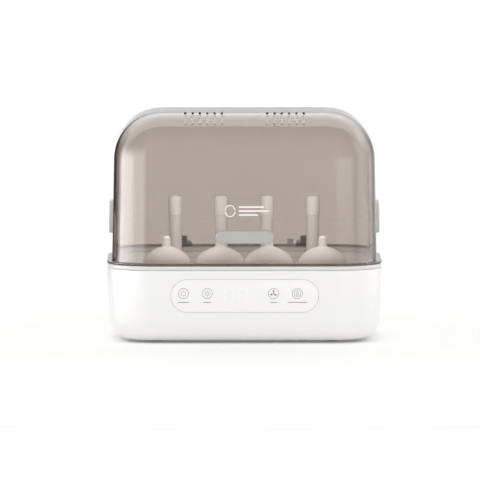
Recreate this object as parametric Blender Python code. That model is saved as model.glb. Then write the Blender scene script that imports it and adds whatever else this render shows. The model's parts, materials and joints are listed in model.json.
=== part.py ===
"""A countertop bottle sterilizer and dryer: a white base with a front touch panel, a smoky clear lid
hinged at the rear, and a lift-out drip tray and bottle rack inside. Metres, +Z up, front towards -Y."""

import math

import bmesh
import bpy
from mathutils import Matrix, Vector

# Overall size
WIDTH, DEPTH, HEIGHT = 0.350, 0.230, 0.2914
CORNER = 0.060  # plan radius of the rim's corners
GAP = 0.0003  # between pieces that touch
ROUND_STEPS = 6  # facets in a quarter turn of a large corner

# Base
FOOT_HEIGHT = 0.003
BASE_TOP = 0.0938
BASE_WALL = 0.003
BASE_FILLET = 0.025  # radius where the walls turn under
BASE_DRAFT = 0.003  # how far the walls lean in, from the top to the fillet
LIP_HALF = (0.128, 0.068)  # inner edge of the lip that the bottom cover screws to
COVER_HALF = (0.1397, 0.0797)
COVER_CORNER = 0.030
RING_LOW, RING_HIGH = BASE_TOP + GAP, 0.0993
SCREW_PLACES = [(side * 0.134, end * 0.035) for side in (-1, 1) for end in (-1, 1)]
FOOT_PLACES = [(side * 0.112, end * 0.056) for side in (-1, 1) for end in (-1, 1)]
CORNER_NAMES = ("front_left", "back_left", "front_right", "back_right")

# Chamber
TUB_FLOOR_LOW, TUB_FLOOR = 0.060, 0.0625
TRAY_HALF = (0.136, 0.088)
TRAY_TOP = 0.076
RACK_HALF = (0.133, 0.085)
RACK_LOW, RACK_TOP = 0.078, 0.081
RACK_LEGS = (0.120, 0.072)
POST_X = (-0.088, -0.0293, 0.0293, 0.088)
POST_Y = 0.022
POST_RADIUS, POST_CAP_RADIUS = 0.00825, 0.0090
POST_STEP, POST_TOP = 0.1516, 0.1776
TEAT_X = (-0.0995, -0.031, 0.031, 0.0995)
TEAT_Y = -0.054
TEAT_RADIUS, TEAT_TIP_RADIUS, TEAT_TOP = 0.0305, 0.0054, 0.1319
TEAT_DOME, TEAT_DOME_RISE = TEAT_TOP - 0.0348, 0.0208  # where the dome starts, and how far it rises
TEAT_DOME_POWER = 1.56  # 1 is an ellipse, and more is closer to a cone
END_ZONE_X = 0.1445  # middle of the windows and air slots at both ends of the tub
END_ZONE_HALF = 0.005

# Lid
LID_INSET = 0.0065  # from the rim's edge to the lid's wall
LID_WALL = 0.0025
LID_FLANGE_LOW, LID_FLANGE_HIGH = 0.0999, 0.1021
LID_LEAN = 0.0025  # how far the walls lean in, from the flange to the shoulder
SHOULDER_OUT, SHOULDER_UP = 0.060, 0.060  # half-axes of the shoulder's arc from the walls to the top
LID_TOP_CORNER = 0.010
VENT_GROUP_X, VENT_PITCH, VENTS_IN_GROUP = 0.052, 0.0093, 6
VENT_LENGTH, VENT_WIDTH, VENT_ANGLE = 0.032, 0.0028, math.radians(23)  # the angle is the arc's own
HANDLE_Z, HANDLE_HALF, HANDLE_REACH = 0.1363, (0.0374, 0.0083), 0.010
GRIP_Z, GRIP_RADIUS, GRIP_PROUD = 0.1546, 0.0213, 0.0055

# Hinges
HINGE_X = 0.080
HINGE_BACK, HINGE_Z = 0.0055, LID_FLANGE_LOW + 0.003  # the axis is this far behind the rim
KNUCKLE_RADIUS = 0.005
KNUCKLE_HALF, EAR_OUT = 0.0067, 0.012
PIN_RADIUS, BORE_RADIUS = 0.0022, 0.0025

# Front panel
PANEL_Z, PANEL_HALF, LENS_THICK = 0.0617, (0.0935, 0.0207), 0.0022
KEY_X, KEY_Z = (-0.0776, -0.0474, 0.0364, 0.0667), PANEL_Z + 0.0031
BOARD_Y = -0.1065

# Blower, heater and the other pieces in the base
BLOWER_AT = (-0.060, 0.015)
BLOWER_HALF, BLOWER_LOW, BLOWER_HIGH = 0.039, 0.014, 0.046
IMPELLER_RADIUS, IMPELLER_HUB = 0.031, 0.015
DUCT_LOW, DUCT_HIGH = (-0.156, 0.0, 0.014), (-0.100, 0.062, 0.0595)
FILTER_AT, FILTER_HALF = (-0.060, 0.047), (0.036, 0.017)
INLET_AT, INLET_HALF = (0.100, 0.040), (0.013, 0.009)

HALF_X, HALF_Y = WIDTH / 2, DEPTH / 2
LID_X, LID_Y = HALF_X - LID_INSET, HALF_Y - LID_INSET
HINGE_Y = HALF_Y + HINGE_BACK
SHOULDER_Y, SHOULDER_Z = SHOULDER_OUT + LID_LEAN - LID_Y, HEIGHT - SHOULDER_UP  # middle of the front shoulder's arc
LEAN_ANGLE = math.atan(LID_LEAN / (SHOULDER_Z - LID_FLANGE_HIGH))
FILLET_Z = FOOT_HEIGHT + BASE_FILLET
DRAFT_ANGLE = math.atan(BASE_DRAFT / (BASE_TOP - FILLET_Z))
# The box's middle in Y lies between the handle's front and the hinges' back.
FRONT_REACH = LID_Y - (HANDLE_Z - LID_FLANGE_HIGH) * math.tan(LEAN_ANGLE)
FRONT_REACH += HANDLE_REACH * math.cos(LEAN_ANGLE) + HANDLE_HALF[1] * math.sin(LEAN_ANGLE)
BACK_REACH = HINGE_Y + KNUCKLE_RADIUS
BODY_Y = (FRONT_REACH - BACK_REACH) / 2

MATERIALS = {
    "white_plastic": ((0.86, 0.85, 0.84), 0.30, 0.0),
    "smoke_plastic": ((0.36, 0.29, 0.26), 0.05, 0.0),
    "grey_plastic": ((0.58, 0.58, 0.56), 0.35, 0.0),
    "silicone": ((0.66, 0.65, 0.64), 0.60, 0.0),
    "rubber": ((0.10, 0.10, 0.10), 0.80, 0.0),
    "panel": ((0.88, 0.87, 0.86), 0.15, 0.0),
    "circuit": ((0.05, 0.22, 0.12), 0.50, 0.0),
    "black_plastic": ((0.03, 0.03, 0.03), 0.40, 0.0),
    "steel": ((0.62, 0.62, 0.62), 0.28, 1.0),
    "aluminium": ((0.78, 0.78, 0.78), 0.35, 1.0),
    "quartz": ((0.80, 0.85, 0.90), 0.05, 0.0),
    "filter": ((0.75, 0.75, 0.72), 0.95, 0.0),
}


def clear_scene():
    for old in list(bpy.data.objects):
        bpy.data.objects.remove(old, do_unlink=True)


def make_material(name):
    color, roughness, metallic = MATERIALS[name]
    made = bpy.data.materials.get(name) or bpy.data.materials.new(name)
    made.use_nodes = True
    shader = made.node_tree.nodes["Principled BSDF"]
    shader.inputs["Base Color"].default_value = (*color, 1.0)
    shader.inputs["Roughness"].default_value = roughness
    shader.inputs["Metallic"].default_value = metallic
    return made


FRAMES = {}


def make_frame(name, at, parent=None):
    """An empty that pieces hang from, with its place measured from the middle of the base."""
    empty = bpy.data.objects.new(name, None)
    bpy.context.collection.objects.link(empty)
    if parent is None:
        empty.location = Vector(at) + Vector((0, BODY_Y, 0))
    else:
        empty.parent = FRAMES[parent][0]
        empty.location = Vector(at) - FRAMES[parent][1]
    FRAMES[name] = (empty, Vector(at))


# Meshes


def outline(half, radius, steps=ROUND_STEPS):
    """The points, counter-clockwise, of a rectangle with round corners."""
    points = []
    for quarter, (side_x, side_y) in enumerate(((1, 1), (-1, 1), (-1, -1), (1, -1))):
        for step in range(steps + 1):
            angle = math.radians(90 * (quarter + step / steps))
            x = side_x * (half[0] - radius) + radius * math.cos(angle)
            y = side_y * (half[1] - radius) + radius * math.sin(angle)
            points.append((x, y))
    return points


def circle(radius, steps, middle=(0, 0)):
    angles = [2 * math.pi * step / steps for step in range(steps)]
    return [(middle[0] + radius * math.cos(a), middle[1] + radius * math.sin(a)) for a in angles]


def arc(middle, radius, start, end, steps):
    """Points from one angle to the other, in degrees."""
    angles = [math.radians(start + (end - start) * step / steps) for step in range(steps + 1)]
    return [(middle[0] + radius * math.cos(a), middle[1] + radius * math.sin(a)) for a in angles]


def skin(rings, loop=False):
    """A closed mesh through rings of equal length. A loop joins its last ring to the first, and has no caps."""
    mesh = bmesh.new()
    rows = [[mesh.verts.new(point) for point in ring] for ring in rings]
    following = rows[1:] + rows[:1] if loop else rows[1:]
    for low, high in zip(rows, following):
        for i, corner in enumerate(low):
            j = (i + 1) % len(low)
            mesh.faces.new((corner, low[j], high[j], high[i]))
    if not loop:
        mesh.faces.new(rows[0])
        mesh.faces.new(rows[-1])
    bmesh.ops.recalc_face_normals(mesh, faces=mesh.faces)
    return mesh


def level(points, z):
    return [(x, y, z) for x, y in points]


def round_levels(rows, steps=ROUND_STEPS):
    """Rings of round-cornered rectangles, from rows of (half_x, half_y, corner radius, z)."""
    return [level(outline((x, y), radius, steps), z) for x, y, radius, z in rows]


def prism(points, low, high):
    return skin([level(points, low), level(points, high)])


def turned(profile, steps):
    """A solid of revolution about Z, from (radius, z) pairs that run up its side."""
    return skin([level(circle(radius, steps), z) for radius, z in profile])


def block(low, high):
    points = [(low[0], low[1]), (high[0], low[1]), (high[0], high[1]), (low[0], high[1])]
    return prism(points, low[2], high[2])


def moved(mesh, matrix):
    bmesh.ops.transform(mesh, matrix=matrix, verts=mesh.verts)
    return mesh


def joined(meshes):
    """One mesh that holds several closed shapes."""
    whole = bmesh.new()
    for mesh in meshes:
        part = bpy.data.meshes.new("part")
        mesh.to_mesh(part)
        mesh.free()
        whole.from_mesh(part)
        bpy.data.meshes.remove(part)
    return whole


def front_wall(x, z):
    """The place on the base's front wall at x and z, with local +Z pointing out of it."""
    y = HALF_Y - BASE_DRAFT * (BASE_TOP - z) / (BASE_TOP - FILLET_Z)
    return Matrix.Translation((x, -y, z)) @ Matrix.Rotation(math.pi / 2 + DRAFT_ANGLE, 4, "X")


def rear_wall(x, z):
    """The same on the rear wall, where local +Y points down."""
    y = HALF_Y - BASE_DRAFT * (BASE_TOP - z) / (BASE_TOP - FILLET_Z)
    return Matrix.Translation((x, y, z)) @ Matrix.Rotation(-math.pi / 2 - DRAFT_ANGLE, 4, "X")


def lid_wall(half, z):
    """How far the lid's outer wall is from the middle at a height, from how far it is at the flange."""
    return half - (z - LID_FLANGE_HIGH) * math.tan(LEAN_ANGLE)


def along_x(at):
    """Turns a mesh's +Z to +X, at a place."""
    return Matrix.Translation(at) @ Matrix.Rotation(math.pi / 2, 4, "Y")


# Objects


def add(name, mesh, material, frame="base_frame", at=(0, 0, 0)):
    """A named piece, with its mesh measured from `at`, hung from a frame."""
    data = bpy.data.meshes.new(name)
    mesh.to_mesh(data)
    mesh.free()
    data.materials.append(make_material(material))
    data.shade_smooth()
    data.set_sharp_from_angle(angle=math.radians(35))
    piece = bpy.data.objects.new(name, data)
    bpy.context.collection.objects.link(piece)
    empty, origin = FRAMES[frame]
    piece.parent = empty
    piece.location = Vector(at) - origin
    return piece


def boolean(piece, mesh, operation):
    """Cuts a mesh from a piece or joins one to it, with both measured in the piece's own coordinates."""
    data = bpy.data.meshes.new(piece.name + "_tool")
    mesh.to_mesh(data)
    mesh.free()
    tool = bpy.data.objects.new(data.name, data)
    bpy.context.collection.objects.link(tool)
    tool.parent = piece
    tool.hide_render = True
    tool.display_type = "WIRE"
    modifier = piece.modifiers.new(operation.lower(), "BOOLEAN")
    modifier.operation = operation
    modifier.object = tool


def cut(piece, *meshes):
    boolean(piece, joined(meshes), "DIFFERENCE")


def merge(piece, *meshes):
    boolean(piece, joined(meshes), "UNION")


# Base housing


def base_shell():
    def outer(inset, z):
        return (HALF_X - inset, HALF_Y - inset, CORNER - inset, z)

    turn = range(ROUND_STEPS + 1)
    rows = [outer(0.0, BASE_TOP)]
    for step in turn:
        angle = math.pi / 2 * step / ROUND_STEPS
        inset = BASE_DRAFT + BASE_FILLET * (1 - math.cos(angle))
        rows.append(outer(inset, FILLET_Z - BASE_FILLET * math.sin(angle)))
    recess = (COVER_HALF[0] + GAP, COVER_HALF[1] + GAP, COVER_CORNER)
    lip_low = FOOT_HEIGHT + 0.0028
    lip_high = lip_low + 0.0025
    rows += [(*recess, FOOT_HEIGHT), (*recess, lip_low)]
    rows += [(*LIP_HALF, 0.020, lip_low), (*LIP_HALF, 0.020, lip_high)]
    inner_radius = BASE_FILLET - BASE_WALL
    last = math.asin((FILLET_Z - lip_high) / inner_radius)
    for step in reversed(turn):
        angle = last * step / ROUND_STEPS
        inset = BASE_DRAFT + BASE_WALL + inner_radius * (1 - math.cos(angle))
        rows.append(outer(inset, FILLET_Z - inner_radius * math.sin(angle)))
    rows.append(outer(BASE_WALL, BASE_TOP))
    shell = add("base_shell", skin(round_levels(rows), loop=True), "white_plastic")
    panel_hole = grown(PANEL_HALF)
    through = (-2 * BASE_WALL, BASE_WALL)
    cut(
        shell,
        moved(prism(outline(panel_hole, panel_hole[1] - 0.00001, 6), *through), front_wall(0, PANEL_Z)),
        moved(prism(outline(grown(FILTER_HALF), 0.004, 3), *through), rear_wall(*FILTER_AT)),
        moved(prism(outline(grown(INLET_HALF), 0.004, 3), *through), rear_wall(*INLET_AT)),
        *[prism(circle(0.0019, 10, at), 0.0, 0.012) for at in SCREW_PLACES],
    )


def grown(half):
    return (half[0] + GAP, half[1] + GAP)


def bottom_cover():
    low, high = FOOT_HEIGHT + 0.0002, FOOT_HEIGHT + 0.0025
    cover = add("bottom_cover", prism(outline(COVER_HALF, COVER_CORNER), low, high), "white_plastic")
    stands = [(0.028, 0.0), (0.102, 0.0), (0.028, 0.060), (0.102, 0.060)]
    stands += [(BLOWER_AT[0] + x * 0.030, BLOWER_AT[1] + y * 0.030) for x in (-1, 1) for y in (-1, 1)]
    tops = [0.0157] * 4 + [BLOWER_LOW - GAP] * 4
    merge(cover, *[prism(circle(0.004, 8, at), low + 0.001, top) for at, top in zip(stands, tops)])
    cut(
        cover,
        *[prism(circle(0.0033, 10, at), 0.0, 0.012) for at in SCREW_PLACES],
        *[block((0.040, -0.058 + 0.009 * i, 0.0), (0.090, -0.054 + 0.009 * i, 0.012)) for i in range(5)],
    )


def fasteners_and_feet():
    head = FOOT_HEIGHT + 0.0005
    for name, at in zip(CORNER_NAMES, SCREW_PLACES):
        profile = [(0.0030, 0.0), (0.0030, 0.0020), (0.0016, 0.0020), (0.0016, 0.0047)]
        add(f"bottom_screw_{name}", turned(profile, 10), "steel", at=(*at, head))
    for name, at in zip(CORNER_NAMES, FOOT_PLACES):
        profile = [(0.0080, 0.0), (0.0090, 0.0010), (0.0090, FOOT_HEIGHT - 0.0001)]
        add(f"foot_{name}", turned(profile, 16), "rubber", at=(*at, 0))


def rim():
    rows = [(0.0006, RING_LOW), (0.0006, RING_HIGH), (0.006, RING_HIGH), (0.006, RING_HIGH - 0.0015)]
    rows += [(0.012, RING_HIGH - 0.0015), (0.012, RING_HIGH), (0.017, RING_HIGH), (0.017, RING_LOW)]
    rings = [(HALF_X - inset, HALF_Y - inset, CORNER - inset, z) for inset, z in rows]
    add("rim_ring", skin(round_levels(rings), loop=True), "grey_plastic")
    low, high = RING_HIGH - 0.0012, RING_HIGH + 0.0004
    rows = [(0.0063, low), (0.0063, high), (0.0117, high), (0.0117, low)]
    rings = [(HALF_X - inset, HALF_Y - inset, CORNER - inset, z) for inset, z in rows]
    add("rim_seal", skin(round_levels(rings), loop=True), "silicone")


# Front panel


def front_panel():
    lens = prism(outline(PANEL_HALF, PANEL_HALF[1] - 0.00001, 8), -LENS_THICK, 0.0)
    add("control_lens", moved(lens, front_wall(0, PANEL_Z)), "panel")
    board = block((-0.088, BOARD_Y, PANEL_Z - 0.018), (0.088, BOARD_Y + 0.0016, PANEL_Z + 0.018))
    add("control_board", board, "circuit")
    display_low = (-0.030, BOARD_Y - 0.0041, PANEL_Z - 0.011)
    display = block(display_low, (0.011, BOARD_Y - GAP, PANEL_Z + 0.012))
    add("display_module", display, "black_plastic")
    for number, x in enumerate(KEY_X, start=1):
        spring = turned([(0.0035, 0.0), (0.0035, 0.0040)], 12)
        along_front = Matrix.Translation((x, BOARD_Y - GAP, KEY_Z)) @ Matrix.Rotation(math.pi / 2, 4, "X")
        add(f"touch_spring_{number}", moved(spring, along_front), "steel")


# Chamber


def inner_tub():
    rows = [(0.152, 0.092, 0.042, TUB_FLOOR), (0.1575, 0.0975, 0.044, BASE_TOP)]
    rows += [(0.1717, 0.1117, 0.0567, BASE_TOP), (0.1717, 0.1117, 0.0567, BASE_TOP - 0.0027)]
    rows += [(0.160, 0.100, 0.0465, BASE_TOP - 0.0027), (0.1545, 0.0945, 0.044, TUB_FLOOR_LOW)]
    tub = add("inner_tub", skin(round_levels(rows)), "white_plastic")
    tools = []
    for side in (-1, 1):
        for i in range(6):
            y = 0.008 + 0.010 * i
            tools.append(end_zone_block(side, (y - 0.002, y + 0.002), (0.055, 0.070)))
        tools.append(end_zone_block(side, (-0.060, -0.005), (0.055, 0.070)))
    cut(tub, *tools)


def end_zone_block(side, y_range, z_range, margin=0.0):
    """A block over the windows and slots at one end of the tub."""
    half = END_ZONE_HALF - margin
    low = (side * END_ZONE_X - half, y_range[0] + margin, z_range[0])
    high = (side * END_ZONE_X + half, y_range[1] - margin, z_range[1])
    return block(low, high)


def lamps():
    for side, name in ((-1, "left"), (1, "right")):
        window = end_zone_block(side, (-0.060, -0.005), (TUB_FLOOR_LOW + GAP, TUB_FLOOR - GAP), GAP)
        add(f"uv_window_{name}", window, "quartz")
        board = add(f"uv_board_{name}", end_zone_block(side, (-0.062, -0.003), (0.054, 0.0556)), "aluminium")
        x = side * END_ZONE_X
        diodes = [(x, -0.052 + 0.013 * i) for i in range(4)]
        merge(board, *[block((x - 0.002, y - 0.002, 0.055), (x + 0.002, y + 0.002, 0.057)) for x, y in diodes])


def drip_tray():
    low, wall, floor = TUB_FLOOR + GAP, 0.002, TUB_FLOOR + 0.0023
    x, y = TRAY_HALF
    inner = (x - wall, y - wall)
    rows = [(*inner, 0.034, floor), (*inner, 0.034, TRAY_TOP), (x, y, 0.036, TRAY_TOP), (x, y, 0.036, low)]
    add("drip_tray", skin(round_levels(rows)), "white_plastic", "tray_frame")


def bottle_rack():
    rack = add("bottle_rack", prism(outline(RACK_HALF, 0.034), RACK_LOW, RACK_TOP), "white_plastic", "rack_frame")
    foot = TUB_FLOOR + 0.0026
    places = [(x * RACK_LEGS[0], y * RACK_LEGS[1]) for x in (-1, 1) for y in (-1, 1)]
    merge(rack, *[prism(circle(0.004, 10, at), foot, RACK_LOW + 0.001) for at in places])
    slots = []
    for i in range(-10, 11):
        for y_low, y_high in ((-0.022, 0.006), (0.040, 0.072)):
            x = 0.0105 * i
            slots.append(block((x - 0.0025, y_low, RACK_LOW - 0.005), (x + 0.0025, y_high, RACK_TOP + 0.005)))
    cut(rack, *slots)


def rack_posts():
    stand = RACK_TOP + GAP
    for number, x in enumerate(POST_X, start=1):
        profile = [(POST_RADIUS, stand), (POST_RADIUS, POST_STEP), (POST_CAP_RADIUS, POST_STEP + 0.0004)]
        profile += [(POST_CAP_RADIUS, POST_TOP - 0.002), (POST_CAP_RADIUS - 0.002, POST_TOP)]
        add(f"bottle_post_{number}", lifted(profile, x, POST_Y), "white_plastic", "rack_frame")
    for number, x in enumerate(TEAT_X, start=1):
        profile = [(0.0240, stand), (0.0240, TEAT_DOME - 0.006)]
        profile += [(TEAT_RADIUS, TEAT_DOME - 0.004), (TEAT_RADIUS, TEAT_DOME)]
        for step in range(1, 6):
            angle = math.radians(15 * step)
            radius = TEAT_TIP_RADIUS + (TEAT_RADIUS - TEAT_TIP_RADIUS) * math.cos(angle) ** TEAT_DOME_POWER
            profile.append((radius, TEAT_DOME + TEAT_DOME_RISE * math.sin(angle)))
        profile += [(TEAT_TIP_RADIUS, TEAT_DOME + 0.022), (TEAT_TIP_RADIUS, TEAT_TOP - 0.0040)]
        profile += [(0.0047, TEAT_TOP - 0.0018), (0.0026, TEAT_TOP)]
        add(f"teat_holder_{number}", lifted(profile, x, TEAT_Y), "white_plastic", "rack_frame")


def lifted(profile, x, y):
    return moved(turned(profile, 18), Matrix.Translation((x, y, 0)))


# Lid


def lid_levels(offset, low):
    """Rows of the lid's wall and shoulder, this far inside its outer face, from the rim up to the flat top."""
    half, corner = (LID_X - offset, LID_Y - offset), CORNER - LID_INSET - offset
    out, up = SHOULDER_OUT - offset, SHOULDER_UP - offset
    rows = [(*half, corner, low)]
    for step in range(ROUND_STEPS + 1):
        angle = math.pi / 2 * step / ROUND_STEPS
        inset = LID_LEAN + out * (1 - math.cos(angle))
        radius = corner - (corner - LID_TOP_CORNER) * inset / (LID_LEAN + out)
        rows.append((half[0] - inset, half[1] - inset, radius, SHOULDER_Z + up * math.sin(angle)))
    return rows


def lid_shell():
    inner = lid_levels(LID_WALL, LID_FLANGE_LOW)
    flange = [(HALF_X, HALF_Y, CORNER, LID_FLANGE_LOW), (HALF_X, HALF_Y, CORNER, LID_FLANGE_HIGH)]
    outer = lid_levels(0.0, LID_FLANGE_HIGH)
    lid = add("lid_shell", skin(round_levels(inner[::-1] + flange + outer)), "smoke_plastic", "lid_frame")
    vents = []
    across_arc, along_arc = math.sin(VENT_ANGLE), math.cos(VENT_ANGLE)
    place = (0, SHOULDER_Y - SHOULDER_OUT * across_arc, SHOULDER_Z + SHOULDER_UP * along_arc)
    tilt = math.atan2(across_arc / SHOULDER_OUT, along_arc / SHOULDER_UP)
    facing = Matrix.Translation(place) @ Matrix.Rotation(tilt, 4, "X")
    for side in (-1, 1):
        for i in range(VENTS_IN_GROUP):
            x = side * VENT_GROUP_X + VENT_PITCH * (i - (VENTS_IN_GROUP - 1) / 2)
            half = (VENT_WIDTH / 2, VENT_LENGTH / 2)
            slot = prism(outline(half, half[0] - 0.00001, 2), -0.008, 0.005)
            vents.append(moved(slot, facing @ Matrix.Translation((x, 0, 0))))
    cut(lid, *vents)


def lid_fittings():
    bar = prism(outline(HANDLE_HALF, HANDLE_HALF[1] - 0.00001, 6), GAP, HANDLE_REACH)
    wall = lid_wall(LID_Y, HANDLE_Z)
    facing = Matrix.Translation((0, -wall, HANDLE_Z)) @ Matrix.Rotation(math.pi / 2 - LEAN_ANGLE, 4, "X")
    handle = add("lid_handle", moved(bar, facing), "grey_plastic", "lid_frame")
    finger = moved(prism(circle(0.005, 16), -0.030, 0.030), along_x((0, -wall - 0.0040, HANDLE_Z - 0.0095)))
    cut(handle, finger)
    profile = [(GRIP_RADIUS, GAP), (GRIP_RADIUS, GRIP_PROUD - 0.0015), (GRIP_RADIUS - 0.0015, GRIP_PROUD)]
    for side, name in ((-1, "left"), (1, "right")):
        place = Matrix.Translation((side * lid_wall(LID_X, GRIP_Z), 0, GRIP_Z))
        facing = place @ Matrix.Rotation(side * (math.pi / 2 - LEAN_ANGLE), 4, "Y")
        add(f"side_grip_{name}", moved(turned(profile, 24), facing), "grey_plastic", "lid_frame")
    low, high = LID_FLANGE_LOW + 0.003, LID_FLANGE_LOW + 0.011
    back = lid_wall(LID_Y, high) - LID_WALL - GAP
    add("lid_magnet", block((0.056, back - 0.0035, low), (0.064, back, high)), "steel", "lid_frame")


# Hinges


def hinges():
    axis = (HINGE_Y, HINGE_Z)
    wall = HALF_Y + 0.0004
    plate_low, plate_high = HINGE_Z - 0.029, HINGE_Z - 0.013
    plate = [(wall, plate_low), (wall + 0.003, plate_low), (wall + 0.003, plate_high)]
    bracket_profile = plate + arc(axis, KNUCKLE_RADIUS, -50, 180, 12)
    lid_back = LID_Y + GAP
    leaf_low = LID_FLANGE_HIGH + GAP
    leaf_profile = [(lid_back, leaf_low)] + arc(axis, KNUCKLE_RADIUS, 186, 490, 14)
    leaf_high = HINGE_Z + 0.012
    leaf_profile += [(lid_back + 0.0025, HINGE_Z + 0.0038), (lid_back + 0.0025, leaf_high), (lid_back, leaf_high)]
    for side, name in ((-1, "left"), (1, "right")):
        x = side * HINGE_X
        bracket = add(f"hinge_bracket_{name}", across(bracket_profile, x, EAR_OUT), "white_plastic")
        slot_half = KNUCKLE_HALF + GAP
        low, high = (x - slot_half, HALF_Y - 0.01, HINGE_Z - 0.0065), (x + slot_half, HALF_Y + 0.02, HINGE_Z + 0.02)
        cut(bracket, block(low, high))
        cut(bracket, across(circle(BORE_RADIUS, 16, axis), x, 0.02))
        leaf = add(f"hinge_leaf_{name}", across(leaf_profile, x, KNUCKLE_HALF), "white_plastic", "lid_frame")
        cut(leaf, across(circle(BORE_RADIUS, 16, axis), x, 0.02))
        profile = [(PIN_RADIUS, -EAR_OUT - 0.001), (PIN_RADIUS, EAR_OUT + GAP)]
        profile += [(0.0036, EAR_OUT + GAP), (0.0036, EAR_OUT + 0.0015)]
        add(f"hinge_pin_{name}", moved(turned(profile, 16), along_x((x, *axis))), "steel")


def across(profile, x, half):
    """A profile in Y and Z, extruded both ways along X from a place."""
    low = [(x - half, y, z) for y, z in profile]
    high = [(x + half, y, z) for y, z in profile]
    return skin([low, high])


# Air system, power and sensing


def blower():
    x, y = BLOWER_AT
    low = (x - BLOWER_HALF, y - BLOWER_HALF, BLOWER_LOW)
    high = (x + BLOWER_HALF, y + BLOWER_HALF, BLOWER_HIGH)
    housing = add("blower_housing", block(low, high), "black_plastic")
    cut(housing, prism(circle(0.034, 28, BLOWER_AT), 0.017, 0.043))
    cut(housing, prism(circle(0.022, 20, BLOWER_AT), 0.040, 0.050))
    cut(housing, block((x - 0.050, 0.022, 0.018), (x - 0.010, 0.048, 0.0425)))
    at = (x, y, 0)
    motor = add("blower_motor", turned([(0.0130, 0.0173), (0.0130, 0.026)], 20), "steel", at=at)
    cut(motor, prism(circle(0.0019, 12), 0.020, 0.030))
    shaft = turned([(0.0015, 0.0203), (0.0015, 0.037)], 12)
    add("motor_shaft", shaft, "steel", "impeller_frame", at)
    blades = []
    for i in range(12):
        for turn, radius in ((-4, 0.017), (-2, IMPELLER_RADIUS), (2, IMPELLER_RADIUS), (4, 0.017)):
            angle = math.radians(30 * i + turn)
            blades.append((radius * math.cos(angle), radius * math.sin(angle)))
    impeller = add("impeller", prism(blades, 0.0185, 0.036), "black_plastic", "impeller_frame", at)
    cut(impeller, prism(circle(IMPELLER_HUB, 20), 0.010, 0.031))
    cut(impeller, prism(circle(0.0019, 12), 0.029, 0.040))


def heater():
    duct = add("heater_duct", block(DUCT_LOW, DUCT_HIGH), "black_plastic")
    wall = 0.002
    low = (DUCT_LOW[0] + wall, DUCT_LOW[1] + wall, DUCT_LOW[2] + wall)
    cut(duct, block(low, (DUCT_HIGH[0] + wall, DUCT_HIGH[1] - wall, DUCT_HIGH[2] + wall)))
    core_low = (low[0] + GAP, low[1] + GAP, 0.034)
    core_high = (-0.115, DUCT_HIGH[1] - wall - GAP, 0.050)
    core = add("ptc_heater", block(core_low, core_high), "aluminium")
    fins = []
    for i in range(7):
        y = 0.0065 + 0.0082 * i
        fins.append(block((core_low[0] + 0.004, y - 0.002, 0.030), (core_high[0] - 0.004, y + 0.002, 0.060)))
    cut(core, *fins)


def power():
    board = add("power_board", block((0.020, -0.008, 0.016), (0.110, 0.072, 0.0176)), "circuit")
    tall = [((0.030, 0.010), (0.058, 0.036), 0.040), ((0.066, 0.014), (0.078, 0.042), 0.034)]
    tall += [((0.086, 0.006), (0.102, 0.022), 0.042), ((0.034, 0.048), (0.060, 0.068), 0.030)]
    merge(board, *[block((*low, 0.017), (*high, top)) for low, high, top in tall])
    inlet_mesh = moved(prism(outline(INLET_HALF, 0.0037, 3), -0.016, 0.0008), rear_wall(*INLET_AT))
    inlet = add("power_inlet", inlet_mesh, "black_plastic")
    socket = prism(outline((0.0085, 0.0046), 0.0045, 4), -0.012, 0.002)
    cut(inlet, moved(socket, rear_wall(*INLET_AT)))
    for side, name in ((-1, "left"), (1, "right")):
        pin = moved(turned([(0.0012, -0.0117), (0.0012, -0.003)], 10), Matrix.Translation((side * 0.0043, 0, 0)))
        add(f"inlet_pin_{name}", moved(pin, rear_wall(*INLET_AT)), "steel")
    add("lid_sensor", block((0.052, 0.102, 0.080), (0.068, 0.109, BASE_TOP - 0.003)), "black_plastic")


def filter_unit():
    cover_mesh = prism(outline(FILTER_HALF, 0.0037, 3), -0.0024, 0.0)
    cover = add("filter_cover", moved(cover_mesh, rear_wall(*FILTER_AT)), "white_plastic", "filter_frame")
    slots = []
    for i in range(5):
        y = -0.010 + 0.005 * i
        slots.append(moved(block((-0.028, y - 0.001, -0.01), (0.028, y + 0.001, 0.01)), rear_wall(*FILTER_AT)))
    cut(cover, *slots)
    pad = block((-0.033, -0.014, -0.0120), (0.033, 0.014, -0.0027))
    add("filter_pad", moved(pad, rear_wall(*FILTER_AT)), "filter", "filter_frame")


def build():
    clear_scene()
    make_frame("base_frame", (0, 0, 0))
    make_frame("lid_frame", (0, HINGE_Y, HINGE_Z), "base_frame")
    make_frame("tray_frame", (0, 0, TUB_FLOOR), "base_frame")
    make_frame("rack_frame", (0, 0, RACK_LOW), "tray_frame")
    make_frame("impeller_frame", (*BLOWER_AT, 0.036), "base_frame")
    make_frame("filter_frame", (FILTER_AT[0], HALF_Y, FILTER_AT[1]), "base_frame")
    base_shell()
    bottom_cover()
    fasteners_and_feet()
    rim()
    front_panel()
    inner_tub()
    lamps()
    drip_tray()
    bottle_rack()
    rack_posts()
    lid_shell()
    lid_fittings()
    hinges()
    blower()
    heater()
    power()
    filter_unit()


build()
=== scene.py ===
"""The looks of a countertop bottle sterilizer: fine surfaces, materials, light and camera around the
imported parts. Metres, +Z up, front towards -Y. Lengths named here repeat the design's own."""

import json
import math

import bmesh
import bpy
from mathutils import Matrix, Vector


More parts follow.
